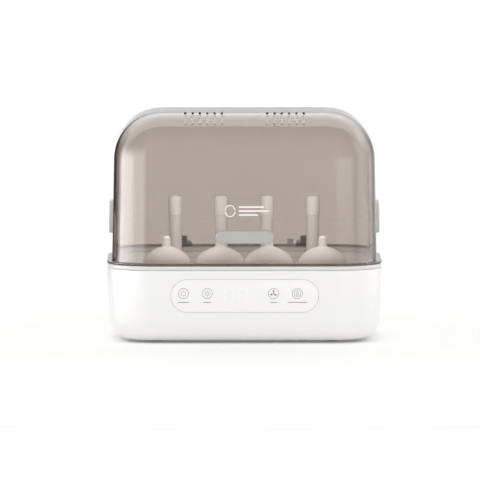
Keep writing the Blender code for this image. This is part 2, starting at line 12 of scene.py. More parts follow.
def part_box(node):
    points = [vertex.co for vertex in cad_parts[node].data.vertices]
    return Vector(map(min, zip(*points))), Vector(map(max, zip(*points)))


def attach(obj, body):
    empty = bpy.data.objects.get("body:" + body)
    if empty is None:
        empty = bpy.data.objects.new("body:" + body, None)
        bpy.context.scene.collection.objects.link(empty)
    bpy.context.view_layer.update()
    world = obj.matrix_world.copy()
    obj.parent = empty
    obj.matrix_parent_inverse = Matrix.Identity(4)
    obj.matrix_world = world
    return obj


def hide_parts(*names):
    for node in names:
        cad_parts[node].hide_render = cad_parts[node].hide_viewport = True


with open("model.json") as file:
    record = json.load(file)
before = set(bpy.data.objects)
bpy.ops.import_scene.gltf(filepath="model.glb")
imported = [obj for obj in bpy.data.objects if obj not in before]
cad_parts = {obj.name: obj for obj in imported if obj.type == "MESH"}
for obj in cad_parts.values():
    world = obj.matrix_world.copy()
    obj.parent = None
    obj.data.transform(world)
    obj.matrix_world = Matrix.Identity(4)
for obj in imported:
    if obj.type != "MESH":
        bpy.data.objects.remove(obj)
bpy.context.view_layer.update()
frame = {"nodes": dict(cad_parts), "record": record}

# Places that the frame gives
BASE_LOW, BASE_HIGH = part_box("base_shell")
LID_LOW, LID_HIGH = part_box("lid_shell")
MIDDLE = Vector((0, (BASE_LOW.y + BASE_HIGH.y) / 2, 0))  # the middle of the body, in plan
HALF_X = (BASE_HIGH.x - BASE_LOW.x) / 2
HALF_Y = (BASE_HIGH.y - BASE_LOW.y) / 2
BASE_BOTTOM, BASE_TOP = BASE_LOW.z, BASE_HIGH.z
TOP = LID_HIGH.z

# Shapes that repeat the design
CORNER = 0.060
GAP = 0.0003
FINE = 24  # facets in a quarter turn of a large corner
BASE_WALL, BASE_FILLET, BASE_DRAFT = 0.003, 0.025, 0.003
LIP_HALF, COVER_HALF, COVER_CORNER = (0.128, 0.068), (0.1397, 0.0797), 0.030
LID_INSET, LID_WALL, LID_TOP_CORNER, FLANGE_THICK = 0.0065, 0.0025, 0.010, 0.0022
LID_LEAN, SHOULDER_OUT, SHOULDER_UP = 0.0025, 0.060, 0.060
LID_X, LID_Y = HALF_X - LID_INSET, HALF_Y - LID_INSET
FLANGE_LOW, FLANGE_HIGH = LID_LOW.z, LID_LOW.z + FLANGE_THICK
SHOULDER_Y, SHOULDER_Z = SHOULDER_OUT + LID_LEAN - LID_Y, TOP - SHOULDER_UP
LEAN_ANGLE = math.atan(LID_LEAN / (SHOULDER_Z - FLANGE_HIGH))
FILLET_Z = BASE_BOTTOM + BASE_FILLET
DRAFT_ANGLE = math.atan(BASE_DRAFT / (BASE_TOP - FILLET_Z))


# Meshes


def outline(half, radius, steps=FINE):
    """The points, counter-clockwise, of a rectangle with round corners."""
    points = []
    for quarter, (side_x, side_y) in enumerate(((1, 1), (-1, 1), (-1, -1), (1, -1))):
        for step in range(steps + 1):
            angle = math.radians(90 * (quarter + step / steps))
            x = side_x * (half[0] - radius) + radius * math.cos(angle)
            y = side_y * (half[1] - radius) + radius * math.sin(angle)
            points.append((x, y))
    return points


def arc(middle, radius, start, end, steps):
    """Points from one angle to the other, in degrees."""
    angles = [math.radians(start + (end - start) * step / steps) for step in range(steps + 1)]
    return [(middle[0] + radius * math.cos(a), middle[1] + radius * math.sin(a)) for a in angles]


def circle(radius, steps, middle=(0, 0)):
    return arc(middle, radius, 0, 360, steps)[:-1]


def skin(rings, loop=False):
    """A closed mesh through rings of equal length. A loop joins its last ring to the first, without caps."""
    mesh = bmesh.new()
    rows = [[mesh.verts.new(point) for point in ring] for ring in rings]
    following = rows[1:] + rows[:1] if loop else rows[1:]
    for low, high in zip(rows, following):
        for i, corner in enumerate(low):
            j = (i + 1) % len(low)
            mesh.faces.new((corner, low[j], high[j], high[i]))
    if not loop:
        mesh.faces.new(rows[0])
        mesh.faces.new(rows[-1])
    bmesh.ops.recalc_face_normals(mesh, faces=mesh.faces)
    return mesh


def level(points, z):
    return [(x, y, z) for x, y in points]


def round_levels(rows, steps=FINE):
    """Rings of round-cornered rectangles, from rows of (half_x, half_y, corner radius, z)."""
    return [level(outline((x, y), radius, steps), z) for x, y, radius, z in rows]


def prism(points, low, high):
    return skin([level(points, low), level(points, high)])


def turned(profile, steps=48):
    """A solid of revolution about Z, from (radius, z) pairs that run up its side."""
    return skin([level(circle(radius, steps), z) for radius, z in profile])


def block(low, high):
    points = [(low[0], low[1]), (high[0], low[1]), (high[0], high[1]), (low[0], high[1])]
    return prism(points, low[2], high[2])


def moved(mesh, matrix):
    bmesh.ops.transform(mesh, matrix=matrix, verts=mesh.verts)
    return mesh


def joined(meshes):
    """One mesh that holds several closed shapes."""
    whole = bmesh.new()
    for mesh in meshes:
        part = bpy.data.meshes.new("part")
        mesh.to_mesh(part)
        mesh.free()
        whole.from_mesh(part)
        bpy.data.meshes.remove(part)
    return whole


def across(profile, x, half):
    """A profile in Y and Z, extruded both ways along X from a place."""
    return skin([[(x - half, y, z) for y, z in profile], [(x + half, y, z) for y, z in profile]])


def front_wall(x, z):
    """The place on the base's front wall at x and z, with local +Z pointing out of it."""
    y = HALF_Y - BASE_DRAFT * (BASE_TOP - z) / (BASE_TOP - FILLET_Z)
    return Matrix.Translation((x, -y, z)) @ Matrix.Rotation(math.pi / 2 + DRAFT_ANGLE, 4, "X")


def rear_wall(x, z):
    """The same on the rear wall, where local +Y points down."""
    y = HALF_Y - BASE_DRAFT * (BASE_TOP - z) / (BASE_TOP - FILLET_Z)
    return Matrix.Translation((x, y, z)) @ Matrix.Rotation(-math.pi / 2 - DRAFT_ANGLE, 4, "X")


def lid_wall(half, z):
    """How far the lid's outer wall is from the middle at a height, from how far it is at the flange."""
    return half - (z - FLANGE_HIGH) * math.tan(LEAN_ANGLE)


def middle_of(node):
    low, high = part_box(node)
    return (low + high) / 2 - MIDDLE


def rounded(half, radius, low, high, edge, steps=FINE, edge_steps=4):
    """A slab with a round-cornered plan, whose upper edge is rounded."""
    rows = [(*half, radius, low)]
    for step in range(edge_steps + 1):
        angle = math.pi / 2 * step / edge_steps
        inset = edge * (1 - math.cos(angle))
        rows.append((half[0] - inset, half[1] - inset, radius - inset, high - edge + edge * math.sin(angle)))
    return skin(round_levels(rows, steps))


# Pieces


def apply_modifiers(piece):
    graph = bpy.context.evaluated_depsgraph_get()
    final = bpy.data.meshes.new_from_object(piece.evaluated_get(graph))
    piece.modifiers.clear()
    piece.data = final


def tool_of(piece, meshes, operation):
    data = bpy.data.meshes.new(piece.name + "_tool")
    whole = joined(meshes)
    whole.to_mesh(data)
    whole.free()
    tool = bpy.data.objects.new(data.name, data)
    bpy.context.scene.collection.objects.link(tool)
    modifier = piece.modifiers.new(operation.lower(), "BOOLEAN")
    modifier.operation = operation
    modifier.object = tool
    apply_modifiers(piece)
    bpy.data.objects.remove(tool)


def piece_of(name, mesh, look, body, nodes=(), cuts=(), joins=(), soften=0.0, angle=35):
    """A finished piece, from a mesh measured from the middle of the body."""
    data = bpy.data.meshes.new(name)
    mesh.to_mesh(data)
    mesh.free()
    piece = bpy.data.objects.new(name, data)
    bpy.context.scene.collection.objects.link(piece)
    if joins:
        tool_of(piece, joins, "UNION")
    if cuts:
        tool_of(piece, cuts, "DIFFERENCE")
    if soften:
        bevel = piece.modifiers.new("soften", "BEVEL")
        bevel.width = soften
        bevel.segments = 3
        bevel.angle_limit = math.radians(40)
        apply_modifiers(piece)
    piece.data.transform(Matrix.Translation(MIDDLE))
    piece.data.materials.clear()
    piece.data.materials.append(look)
    piece.data.shade_smooth()
    piece.data.set_sharp_from_angle(angle=math.radians(angle))
    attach(piece, body)
    if nodes:
        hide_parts(*nodes)
    return piece


# Materials


def link(tree, source, target):
    tree.links.new(source, target)


def noise(tree, scale, detail=4.0, roughness=0.5):
    """A noise texture in the object's own coordinates, with features of about 1 / scale metres."""
    place = tree.nodes.new("ShaderNodeTexCoord")
    texture = tree.nodes.new("ShaderNodeTexNoise")
    texture.inputs["Scale"].default_value = scale
    texture.inputs["Detail"].default_value = detail
    texture.inputs["Roughness"].default_value = roughness
    link(tree, place.outputs["Object"], texture.inputs["Vector"])
    return texture.outputs["Fac"]


def ranged(tree, source, low, high):
    """The source's middle half, spread over a range."""
    spread = tree.nodes.new("ShaderNodeMapRange")
    spread.inputs["From Min"].default_value = 0.3
    spread.inputs["From Max"].default_value = 0.7
    spread.inputs["To Min"].default_value = low
    spread.inputs["To Max"].default_value = high
    link(tree, source, spread.inputs["Value"])
    return spread.outputs["Result"]


def material(name, color, roughness, metallic=0.0, vary=0.015, rough_vary=0.04, bump=0.00002, grain=900.0):
    """A Principled surface whose colour, roughness and height all vary a little with noise."""
    made = bpy.data.materials.new(name)
    made.use_nodes = True
    tree = made.node_tree
    shader = tree.nodes["Principled BSDF"]
    shader.inputs["Metallic"].default_value = metallic
    mix = tree.nodes.new("ShaderNodeMix")
    mix.data_type = "RGBA"
    mix.inputs["A"].default_value = (*[c * (1 - vary) for c in color], 1)
    mix.inputs["B"].default_value = (*[min(1.0, c * (1 + vary)) for c in color], 1)
    link(tree, ranged(tree, noise(tree, 14.0), 0.0, 1.0), mix.inputs["Factor"])
    link(tree, mix.outputs["Result"], shader.inputs["Base Color"])
    cloudy = ranged(tree, noise(tree, 60.0), roughness - rough_vary, roughness + rough_vary)
    link(tree, cloudy, shader.inputs["Roughness"])
    relief = tree.nodes.new("ShaderNodeBump")
    relief.inputs["Strength"].default_value = 0.5
    relief.inputs["Distance"].default_value = bump
    link(tree, noise(tree, grain), relief.inputs["Height"])
    link(tree, relief.outputs["Normal"], shader.inputs["Normal"])
    return made


def set_inputs(look, **values):
    shader = look.node_tree.nodes["Principled BSDF"]
    for name, value in values.items():
        shader.inputs[name.replace("_", " ")].default_value = value
    return look


def smoke_plastic():
    """Clear moulded plastic with a brown-grey tint all through it."""
    look = material("smoke_lid", (1.0, 1.0, 1.0), 0.02, vary=0.0, rough_vary=0.008, bump=0.000004, grain=40.0)
    set_inputs(look, Transmission_Weight=1.0, IOR=1.46)
    absorb = look.node_tree.nodes.new("ShaderNodeVolumeAbsorption")
    absorb.inputs["Color"].default_value = (0.275, 0.129, 0.042, 1)
    absorb.inputs["Density"].default_value = 240.0
    output = look.node_tree.nodes["Material Output"]
    link(look.node_tree, absorb.outputs["Volume"], output.inputs["Volume"])
    return look


def looks():
    made = {
        "white_plastic": material("white_plastic", (0.895, 0.89, 0.88), 0.32, vary=0.002, rough_vary=0.01),
        "smoke_lid": smoke_plastic(),
        "grey_plastic": material("grey_plastic", (0.455, 0.457, 0.438), 0.38),
        "ring_plastic": material("ring_plastic", (0.73, 0.72, 0.69), 0.38),
        "disc_plastic": material("disc_plastic", (0.76, 0.755, 0.72), 0.5),
        "silicone": material("silicone", (0.66, 0.65, 0.64), 0.60, bump=0.00004),
        "rubber": material("rubber", (0.06, 0.06, 0.06), 0.75, bump=0.00006),
        "panel": material("panel", (0.93, 0.925, 0.915), 0.16, vary=0.005, rough_vary=0.02, bump=0.000003),
        "circuit": material("circuit", (0.05, 0.22, 0.12), 0.45, vary=0.15),
        "black_plastic": material("black_plastic", (0.025, 0.025, 0.026), 0.42, vary=0.1),
        "steel": material("steel", (0.60, 0.60, 0.60), 0.30, 1.0, grain=1500.0),
        "aluminium": material("aluminium", (0.78, 0.78, 0.78), 0.38, 1.0, grain=1500.0),
        "quartz": material("quartz", (0.85, 0.88, 0.92), 0.06, vary=0.02),
        "filter": material("filter", (0.72, 0.72, 0.70), 0.95, vary=0.12, bump=0.0004, grain=700.0),
        "rack_plastic": material("rack_plastic", (0.90, 0.88, 0.86), 0.42),
        # Posts: the rack's white plastic, set darker here as painted shade so they match the rest under the
        # chamber fill
        "post_painted_shade": material("post_painted_shade", (0.735, 0.72, 0.705), 0.42),
        # Holders: the same white plastic, set lighter here as painted light so they match the rest under the
        # chamber fill
        "holder_painted_light": material("holder_painted_light", (0.96, 0.945, 0.93), 0.42),
        "ink": material("ink", (0.22, 0.21, 0.21), 0.45, vary=0.05),
        "glow": material("glow", (0.93, 0.93, 0.93), 0.25),
        "mark": material("mark", (0.90, 0.89, 0.88), 0.45),
    }
    set_inputs(made["disc_plastic"], Specular_IOR_Level=0.15)
    set_inputs(made["quartz"], Transmission_Weight=0.9)
    set_inputs(made["glow"], Emission_Color=(1, 1, 1, 1), Emission_Strength=0.04)
    return made


# Base


def base_housing():
    def outer(inset, z):
        return (HALF_X - inset, HALF_Y - inset, CORNER - inset, z)

    edge, steps = 0.0012, 5
    rows = []
    for step in range(steps + 1):
        angle = math.pi / 2 * (1 - step / steps)
        rows.append(outer(edge * (1 - math.cos(angle)), BASE_TOP - edge + edge * math.sin(angle)))
    for step in range(FINE + 1):
        angle = math.pi / 2 * step / FINE
        inset = BASE_DRAFT + BASE_FILLET * (1 - math.cos(angle))
        rows.append(outer(inset, FILLET_Z - BASE_FILLET * math.sin(angle)))
    recess = (COVER_HALF[0] + GAP, COVER_HALF[1] + GAP, COVER_CORNER)
    lip_low, lip_high = BASE_BOTTOM + 0.0028, BASE_BOTTOM + 0.0053
    rows += [(*recess, BASE_BOTTOM), (*recess, lip_low)]
    rows += [(*LIP_HALF, 0.020, lip_low), (*LIP_HALF, 0.020, lip_high)]
    inner_radius = BASE_FILLET - BASE_WALL
    last = math.asin((FILLET_Z - lip_high) / inner_radius)
    for step in reversed(range(9)):
        angle = last * step / 8
        inset = BASE_DRAFT + BASE_WALL + inner_radius * (1 - math.cos(angle))
        rows.append(outer(inset, FILLET_Z - inner_radius * math.sin(angle)))
    rows.append(outer(BASE_WALL, BASE_TOP))
    panel = grown(PANEL_HALF)
    cuts = [moved(flared(panel, panel[1] - 0.00001), front_wall(0, PANEL_Z))]
    cuts.append(moved(flared(grown(FILTER_HALF), 0.004), rear_wall(*FILTER_AT)))
    cuts.append(moved(flared(grown(INLET_HALF), 0.004), rear_wall(*INLET_AT)))
    cuts += [prism(circle(0.0019, 24, at), 0.0, 0.012) for at in SCREW_PLACES]
    shell = skin(round_levels(rows), loop=True)
    piece_of("base_housing", shell, LOOKS["white_plastic"], "base", ["base_shell"], cuts)


def grown(half):
    return (half[0] + GAP, half[1] + GAP)


def flared(half, radius, edge=0.0002):
    """A cutter through the base's wall that also breaks the hole's outer edge."""
    rows = [(*half, radius, -0.006), (*half, radius, -edge)]
    rows += [(half[0] + 2 * edge, half[1] + 2 * edge, radius + 2 * edge, edge)]
    return skin(round_levels(rows, 16))


def bottom_plate():
    low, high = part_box("bottom_cover")[0].z, BASE_BOTTOM + 0.0025
    stands = [(0.028, 0.0), (0.102, 0.0), (0.028, 0.060), (0.102, 0.060)]
    stands += [(-0.060 + x * 0.030, 0.015 + y * 0.030) for x in (-1, 1) for y in (-1, 1)]
    tops = [0.0157] * 4 + [0.0137] * 4
    joins = [prism(circle(0.004, 16, at), low + 0.001, top) for at, top in zip(stands, tops)]
    cuts = [prism(circle(0.0033, 24, at), 0.0, 0.012) for at in SCREW_PLACES]
    for i in range(5):
        slot = prism(outline((0.025, 0.002), 0.00199, 6), 0.0, 0.012)
        cuts.append(moved(slot, Matrix.Translation((0.065, -0.056 + 0.009 * i, 0))))
    plate = rounded(COVER_HALF, COVER_CORNER, -high, -low, 0.0005, 12)
    plate = moved(plate, Matrix.Rotation(math.pi, 4, "X"))
    look = LOOKS["white_plastic"]
    piece_of("bottom_plate", plate, look, "base", ["bottom_cover"], cuts, joins)


def screws_and_feet():
    head = BASE_BOTTOM + 0.0005
    profile = [(0.0024, 0.0), (0.0030, 0.0005), (0.0030, 0.0020), (0.0016, 0.0020), (0.0016, 0.0047)]
    for name, at in zip(CORNER_NAMES, SCREW_PLACES):
        screw = moved(turned(profile, 24), Matrix.Translation((*at, head)))
        recess = []
        for a, b in CROSS:
            recess.append(block((at[0] - a, at[1] - b, head - 0.001), (at[0] + a, at[1] + b, head + 0.001)))
        cuts = [recess[0]]
        nodes = [f"bottom_screw_{name}"]
        piece = piece_of(f"screw_{name}", screw, LOOKS["steel"], "base", nodes, cuts)
        tool_of(piece, [moved(recess[1], Matrix.Translation(MIDDLE))], "DIFFERENCE")
    top = BASE_BOTTOM - 0.0001
    profile = [(0.0066, 0.0)]
    profile += [(0.0075 + 0.0015 * math.sin(a), 0.0015 - 0.0015 * math.cos(a)) for a in EIGHTHS]
    profile.append((0.0090, top))
    for name, at in zip(CORNER_NAMES, FOOT_PLACES):
        foot = moved(turned(profile), Matrix.Translation((*at, 0)))
        piece_of(f"pad_{name}", foot, LOOKS["rubber"], "base", [f"foot_{name}"])


CROSS = ((0.0017, 0.0004), (0.0004, 0.0017))
EIGHTHS = [math.pi / 8 * step for step in range(1, 5)]
SCREW_PLACES = [(side * 0.134, end * 0.035) for side in (-1, 1) for end in (-1, 1)]
FOOT_PLACES = [(side * 0.112, end * 0.056) for side in (-1, 1) for end in (-1, 1)]
CORNER_NAMES = ("front_left", "back_left", "front_right", "back_right")
PANEL_Z, PANEL_HALF, LENS_THICK = 0.0617, (0.0935, 0.0207), 0.0022
FILTER_AT, FILTER_HALF = (-0.060, 0.047), (0.036, 0.017)
INLET_AT, INLET_HALF = (0.100, 0.040), (0.013, 0.009)


def rim_pieces():
    ring_low, ring_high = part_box("rim_ring")[0].z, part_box("rim_ring")[1].z
    edge = 0.0008
    groove = ring_high - 0.0015
    rows = [(0.0006 + edge, ring_low)]
    rows += [(0.0006 + edge * (1 - math.sin(a)), ring_low + edge * (1 - math.cos(a))) for a in EIGHTHS]
    for a in [0.0] + EIGHTHS:
        rows.append((0.0006 + edge * (1 - math.cos(a)), ring_high - edge * (1 - math.sin(a))))
    rows += [(0.006, ring_high), (0.006, groove), (0.012, groove), (0.012, ring_high)]
    rows += [(0.017, ring_high), (0.017, ring_low)]
    ring = skin(round_levels(rim_rows(rows)), loop=True)
    piece_of("edge_ring", ring, LOOKS["ring_plastic"], "base", ["rim_ring"])
    low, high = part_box("rim_seal")[0].z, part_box("rim_seal")[1].z
    middle, half, rise = 0.009, 0.0027, high - low
    rows = [(middle + half, low), (middle - half, low)]
    for step in range(1, 6):
        bow = math.radians(30 * step)
        rows.append((middle - half * math.cos(bow), low + rise * math.sin(bow)))
    seal = skin(round_levels(rim_rows(rows)), loop=True)
    piece_of("seal_lip", seal, LOOKS["silicone"], "base", ["rim_seal"], angle=50)


def rim_rows(rows):
    """Rings that follow the rim, from rows of (distance inside it, z)."""
    return [(HALF_X - inset, HALF_Y - inset, CORNER - inset, z) for inset, z in rows]


# Front panel

KEY_X, KEY_Z = (-0.0776, -0.0474, 0.0364, 0.0667), PANEL_Z + 0.0031
KEY_RADIUS = 0.0065
INK_THICK = 0.00006
CAPTION_Z = PANEL_Z - 0.0081
CAPTION_HALF = ((0.0066, 0.00045), (0.0044, 0.00045), (0.0036, 0.00045), (0.0118, 0.00045))
DIGIT_X, DIGIT_HALF = (-0.0200, -0.0020), (0.0048, 0.0090)
DIGITS = ("abcdef", "abcdefg")


def front_panel():
    lens = rounded(PANEL_HALF, PANEL_HALF[1] - 0.00001, -LENS_THICK, 0.0, 0.0003)
    lens = moved(lens, front_wall(0, PANEL_Z))
    piece_of("panel_lens", lens, LOOKS["panel"], "base", ["control_lens"])
    symbols = (power_symbol, lamp_symbol, fan_symbol, auto_symbol)
    for number, (x, symbol, half) in enumerate(zip(KEY_X, symbols, CAPTION_HALF), start=1):
        shapes = [band(KEY_RADIUS, 0.00028, 0, 360)] + symbol()
        printed(f"key_symbol_{number}", shapes, x, KEY_Z)
        printed(f"key_caption_{number}", [bar((-half[0], 0), (half[0], 0), half[1])], x, CAPTION_Z)
    for number, (x, lit) in enumerate(zip(DIGIT_X, DIGITS), start=1):
        printed(f"digit_{number}", digit(lit), x, PANEL_Z + 0.0005, "glow")


def printed(name, shapes, x, z, look="ink"):
    """A print on the panel, from flat shapes measured from a place on it."""
    mesh = joined(shapes)
    piece_of(name, moved(mesh, front_wall(x, z)), LOOKS[look], "base")


def band(radius, half_width, start, end, middle=(0, 0), steps=48):
    """A flat band along an arc, standing a hair above the panel."""
    outer = arc(middle, radius + half_width, start, end, steps)
    inner = arc(middle, radius - half_width, start, end, steps)
    low, high = INK_THICK / 6, INK_THICK
    mesh = bmesh.new()
    rows = []
    for o, i in zip(outer, inner):
        section = ((o, low), (o, high), (i, high), (i, low))
        rows.append([mesh.verts.new((*p, z)) for p, z in section])
    closed = abs(end - start) >= 360
    if closed:
        for vert in rows.pop():
            mesh.verts.remove(vert)
    for one, two in zip(rows, rows[1:] + rows[:1] if closed else rows[1:]):
        for i in range(4):
            mesh.faces.new((one[i], one[i - 1], two[i - 1], two[i]))
    if not closed:
        mesh.faces.new(rows[0])
        mesh.faces.new(rows[-1])
    bmesh.ops.recalc_face_normals(mesh, faces=mesh.faces)
    return mesh


def bar(start, end, half_width):
    """A flat bar with round ends from one point to another."""
    start, end = Vector(start), Vector(end)
    along = end - start
    half = (along.length / 2 + half_width, half_width)
    mesh = prism(outline(half, half_width * 0.999, 6), INK_THICK / 6, INK_THICK)
    turn = Matrix.Rotation(math.atan2(along.y, along.x), 4, "Z")
    return moved(mesh, Matrix.Translation((*((start + end) / 2), 0)) @ turn)


def power_symbol():
    return [band(0.0030, 0.00028, 125, 415), bar((0, 0.0014), (0, 0.0038), 0.00028)]


def lamp_symbol():
    rays = []
    for i in range(8):
        out = Vector((math.cos(math.pi / 4 * i), math.sin(math.pi / 4 * i)))
        rays.append(bar(out * 0.0035, out * 0.0045, 0.00022))
    return [band(0.0021, 0.00028, 0, 360)] + rays


def fan_symbol():
    """Three round-ended blades about a small hub."""
    shapes = [prism(circle(0.0008, 24), INK_THICK / 6, INK_THICK)]
    for i in range(3):
        turn = Matrix.Rotation(math.radians(120 * i), 4, "Z")
        blade = prism(outline((0.0010, 0.0016), 0.00095, 6), INK_THICK / 6, INK_THICK)
        shapes.append(moved(blade, turn @ Matrix.Translation((0.0002, 0.0029, 0))))
    return shapes


def auto_symbol():
    """A drop inside a circular arrow."""
    shapes = [band(0.0040, 0.00024, 60, 400)]
    shapes.append(bar((0, 0.0024), (-0.0013, -0.0004), 0.00022))
    shapes.append(bar((0, 0.0024), (0.0013, -0.0004), 0.00022))
    shapes.append(band(0.0014, 0.00024, 155, 385, (0, -0.0009)))
    return shapes


def digit(lit):
    """The lit bars of one figure on a seven-bar display."""
    x, y = DIGIT_HALF
    ends = {"a": ((-x, y), (x, y)), "b": ((x, y), (x, 0)), "c": ((x, 0), (x, -y)), "d": ((-x, -y), (x, -y))}
    ends.update({"e": ((-x, 0), (-x, -y)), "f": ((-x, y), (-x, 0)), "g": ((-x, 0), (x, 0))})
    shapes = []
    for key in lit:
        start, end = Vector(ends[key][0]), Vector(ends[key][1])
        short = (end - start).normalized() * 0.0013
        shapes.append(bar(start + short, end - short, 0.0008))
    return shapes


# Chamber


def chamber():
    tub_low, tub_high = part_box("inner_tub")[0].z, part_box("inner_tub")[1].z
    floor = tub_low + 0.0025
    edge = 0.0060
    rows = []
    for step in range(7):
        angle = math.pi / 2 * step / 6
        inset = edge * (1 - math.sin(angle))
        rows.append((0.1525 - inset, 0.0925 - inset, 0.042 - inset, floor + edge * (1 - math.cos(angle))))
    lip = 0.0025
    for step in range(6):
        angle = math.pi / 2 * step / 5
        out = lip * (1 - math.cos(angle))
        rows.append((0.1573 + out, 0.0973 + out, 0.044 + out, tub_high - lip + lip * math.sin(angle)))
    rows += [(0.1717, 0.1117, 0.0567, tub_high), (0.1717, 0.1117, 0.0567, tub_high - 0.0027)]
    rows += [(0.160, 0.100, 0.0465, tub_high - 0.0027), (0.1545, 0.0945, 0.044, tub_low)]
    cuts = []
    for side in (-1, 1):
        for i in range(6):
            y = 0.008 + 0.010 * i
            cuts.append(slot_at((END_ZONE_X * side, y), (END_HALF, 0.002), 0.055, 0.072))
        near, far = side * END_ZONE_X - END_HALF, side * END_ZONE_X + END_HALF
        cuts.append(block((near, -0.060, 0.055), (far, -0.005, 0.072)))
    tub = skin(round_levels(rows))
    piece_of("chamber", tub, LOOKS["white_plastic"], "base", ["inner_tub"], cuts)


END_ZONE_X = (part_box("uv_window_right")[0].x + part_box("uv_window_right")[1].x) / 2
END_HALF = 0.005


def slot_at(at, half, low, high, steps=4):
    """A cutter for one slot with round ends."""
    radius = min(half) * 0.999
    return moved(prism(outline(half, radius, steps), low, high), Matrix.Translation((*at, 0)))


def tray():
    low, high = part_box("drip_tray")
    x, y = (high.x - low.x) / 2, (high.y - low.y) / 2
    floor, wall, edge = low.z + 0.0020, 0.002, 0.004
    rows = []
    for step in range(6):
        angle = math.pi / 2 * step / 5
        inset = wall + edge * (1 - math.sin(angle))
        rows.append((x - inset, y - inset, 0.036 - inset, floor + edge * (1 - math.cos(angle))))
    for step in range(7):
        angle = math.pi * step / 6
        inset = wall / 2 * (1 + math.cos(angle))
        rows.append((x - inset, y - inset, 0.036 - inset, high.z - wall / 2 + wall / 2 * math.sin(angle)))
    rows += [(x - 0.002, y - 0.002, 0.034, low.z)]
    piece_of("tray", skin(round_levels(rows)), LOOKS["rack_plastic"], "tray", ["drip_tray"])


def rack():
    low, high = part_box("bottle_rack")
    half = ((high.x - low.x) / 2, (high.y - low.y) / 2)
    plate_low = high.z - 0.003
    legs = [(x * 0.120, y * 0.072) for x in (-1, 1) for y in (-1, 1)]
    joins = [prism(circle(0.004, 24, at), low.z, plate_low + 0.001) for at in legs]
    cuts = []
    for i in range(-10, 11):
        for y_low, y_high in ((-0.022, 0.006), (0.040, 0.072)):
            middle, length = (y_low + y_high) / 2, (y_high - y_low) / 2
            cuts.append(slot_at((0.0105 * i, middle), (0.0025, length), plate_low - 0.005, high.z + 0.005, 5))
    plate = rounded(half, 0.034, plate_low, high.z, 0.0010)
    piece_of("rack_plate", plate, LOOKS["rack_plastic"], "rack", ["bottle_rack"], cuts, joins)
    for number in range(1, 5):
        post(number)
        holder(number)


def quarter(middle, radius, start, end, steps=6):
    return arc(middle, radius, start, end, steps)


def post(number):
    low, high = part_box(f"bottle_post_{number}")
    stem, cap, step_z = 0.00825, 0.0090, high.z - 0.026
    profile = [(stem + 0.0022, low.z), (stem + 0.0006, low.z + 0.0010), (stem, low.z + 0.0030)]
    profile += [(stem - 0.0001, step_z - 0.0006), (stem, step_z), (cap, step_z + 0.0004)]
    profile += quarter((cap - 0.0014, high.z - 0.0014), 0.0014, 0, 90)
    profile += [(0.0048, high.z), (0.0044, high.z - 0.0008)]
    place = ((low.x + high.x) / 2, (low.y + high.y) / 2 - MIDDLE.y, 0)
    mesh = moved(turned(profile), Matrix.Translation(place))
    nodes = [f"bottle_post_{number}"]
    piece_of(f"post_{number}", mesh, LOOKS["post_painted_shade"], "rack", nodes)


def holder(number):
    low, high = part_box(f"teat_holder_{number}")
    radius = (high.x - low.x) / 2
    foot, tip, dome_z, dome_rise = radius - 0.0065, 0.0054, high.z - 0.0348, 0.0208
    profile = [(foot, low.z), (foot, dome_z - 0.0067), (foot + 0.0006, dome_z - 0.0060)]
    profile += [(radius - 0.0006, dome_z - 0.0040), (radius, dome_z - 0.0033), (radius, dome_z - 0.0007)]
    for step in range(1, 13):
        angle = math.radians(6.3 * step)
        out = tip + (radius - tip) * math.cos(angle) ** 1.56
        profile.append((out, dome_z + dome_rise * math.sin(angle)))
    profile += [(tip + 0.0010, dome_z + 0.0207), (tip, dome_z + 0.0222), (tip - 0.0001, high.z - 0.0045)]
    profile += quarter((tip - 0.0044, high.z - 0.0042), 0.0042, 0, 90)
    place = ((low.x + high.x) / 2, (low.y + high.y) / 2 - MIDDLE.y, 0)
    mesh = moved(turned(profile, 64), Matrix.Translation(place))
    look, nodes = LOOKS["holder_painted_light"], [f"teat_holder_{number}"]
    piece_of(f"holder_{number}", mesh, look, "rack", nodes, angle=50)


# Lid


def lid_levels(offset, low):
    """Rows of the lid's wall and shoulder, this far inside its outer face, from the rim up to the flat top."""
    half, corner = (LID_X - offset, LID_Y - offset), CORNER - LID_INSET - offset
    out, up = SHOULDER_OUT - offset, SHOULDER_UP - offset
    rows = [(*half, corner, low)]
    for step in range(2 * FINE + 1):
        angle = math.pi / 2 * step / (2 * FINE)
        inset = LID_LEAN + out * (1 - math.cos(angle))
        radius = corner - (corner - LID_TOP_CORNER) * inset / (LID_LEAN + out)
        rows.append((half[0] - inset, half[1] - inset, radius, SHOULDER_Z + up * math.sin(angle)))
    return rows


VENT_GROUP_X, VENT_PITCH, VENTS_IN_GROUP = 0.052, 0.0093, 6
VENT_LENGTH, VENT_WIDTH, VENT_ANGLE = 0.032, 0.0028, math.radians(23)


